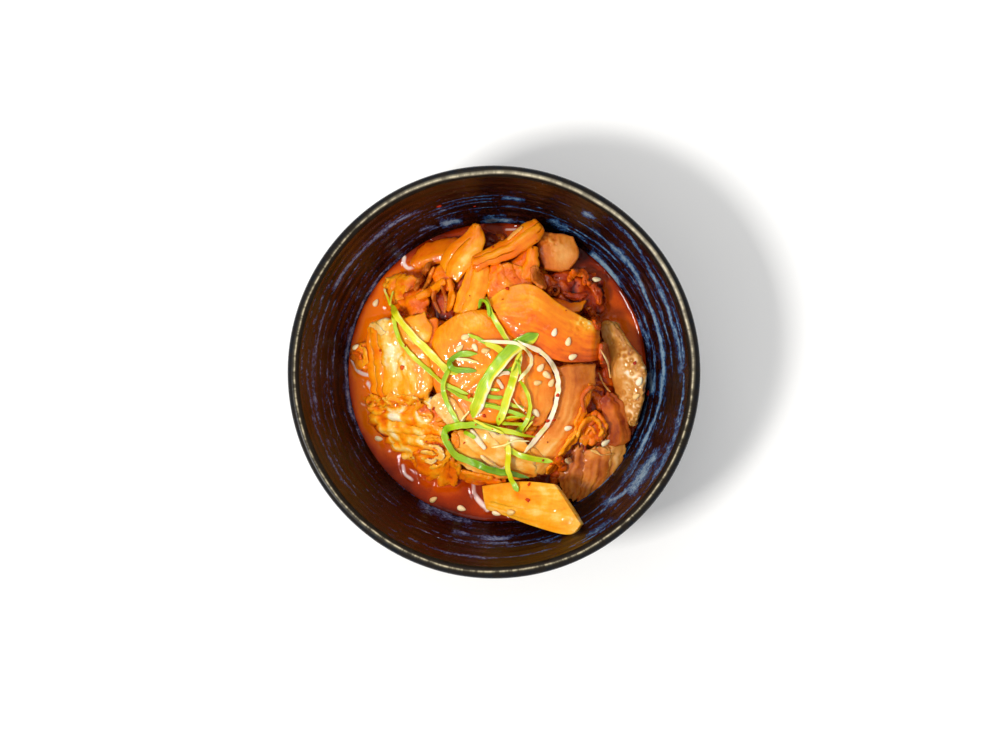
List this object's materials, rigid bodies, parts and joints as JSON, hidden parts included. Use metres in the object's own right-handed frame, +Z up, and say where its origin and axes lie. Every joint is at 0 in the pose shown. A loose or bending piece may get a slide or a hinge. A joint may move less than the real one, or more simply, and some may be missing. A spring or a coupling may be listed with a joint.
{
  "type": "bowl of kimchi",
  "caption": "Cabbage kimchi heaped in red broth in a small dark glazed stoneware bowl, with sesame seeds and shredded scallion on top",
  "frame": {"origin": "middle of the foot ring's resting face, on the bowl's axis", "axes": "+Z up along the bowl's axis, +X to the side where one cut stem leans on the wall, -Y to the side of the front stem that leans on the wall"},
  "size_m": [0.132, 0.132, 0.058],
  "materials": {
    "glaze": "glossy dark brown glaze with brushed blue rings",
    "broth": "wet, clear red-orange liquid",
    "cabbage": "wet, translucent orange leaf",
    "cabbage_stem": "wet, translucent ribbed stem",
    "scallion": "fresh green and cream, satin",
    "sesame": "toasted seed, satin",
    "chilli": "wet red flake"
  },
  "bodies": {
    "root": {"bowl": "glaze", "broth": "broth", "kimchi_heap": "cabbage", "front_stem": "cabbage_stem", "wall_stem": "cabbage_stem", "upper_stem": "cabbage_stem", "top_left_stem": "cabbage_stem", "top_block": "cabbage_stem", "scallion_shreds": "scallion"}
  },
  "joints": []
}
